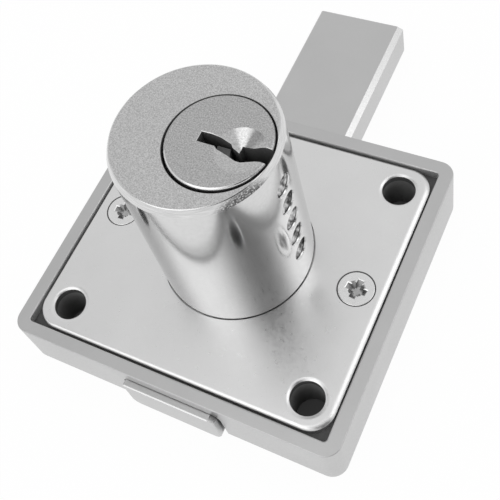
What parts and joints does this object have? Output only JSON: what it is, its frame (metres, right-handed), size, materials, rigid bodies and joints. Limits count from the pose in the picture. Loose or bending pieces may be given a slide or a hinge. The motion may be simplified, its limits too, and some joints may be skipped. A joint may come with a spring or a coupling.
{
  "type": "drawer lock",
  "caption": "Drawer lock: an off-centre keyed plug in a round barrel turns a cam that slides a square-ended bolt through a shallow cast case.",
  "frame": {"origin": "on the barrel's axis, in the plane of the case's front rim, which bears on the back of the drawer front", "axes": "+Z along the barrel towards the key side; +Y the way the bolt throws; +X towards the row of pin holes"},
  "size_m": [0.0506, 0.0716, 0.0378],
  "materials": {
    "zinc": "satin die-cast zinc alloy",
    "plate_nickel": "satin nickel-plated steel, rolled edges",
    "screw_nickel": "nickel-plated steel",
    "barrel_chrome": "polished nickel over zinc, face left finely grained",
    "plug_nickel": "nickel-plated brass, finely grained face",
    "cam_steel": "zinc-plated steel",
    "stud_steel": "ground steel",
    "bolt_zinc": "satin nickel-plated zinc alloy, bevelled edges",
    "pin_brass": "turned brass",
    "spring_steel": "drawn spring steel wire"
  },
  "bodies": {
    "housing": {"case": "zinc", "cover_plate": "plate_nickel", "plate_screws": "screw_nickel", "barrel": "barrel_chrome", "driver_pin_1": "pin_brass", "pin_spring_1": "spring_steel", "driver_pin_2": "pin_brass", "pin_spring_2": "spring_steel", "driver_pin_3": "pin_brass", "pin_spring_3": "spring_steel", "driver_pin_4": "pin_brass", "pin_spring_4": "spring_steel", "driver_pin_5": "pin_brass", "pin_spring_5": "spring_steel"},
    "plug": {"plug": "plug_nickel", "cam": "cam_steel", "cam_screw": "cam_steel", "drive_pin": "stud_steel", "key_pin_1": "pin_brass", "key_pin_2": "pin_brass", "key_pin_3": "pin_brass", "key_pin_4": "pin_brass", "key_pin_5": "pin_brass"},
    "bolt": {"bolt": "bolt_zinc"}
  },
  "joints": [
    {"name": "plug_turn", "type": "hinge", "parent": "housing", "child": "plug", "pos_m": [0.0035, 0, 0], "axis": [0, 0, 1], "range_deg": [0, 180]},
    {"name": "bolt_slide", "type": "slide", "parent": "housing", "child": "bolt", "axis": [0, 1, 0], "range_m": [-0.01, 0]}
  ],
  "couplings": [
    {"joint": "plug_turn", "follows": "bolt_slide", "rad_per_m": -314.16}
  ]
}
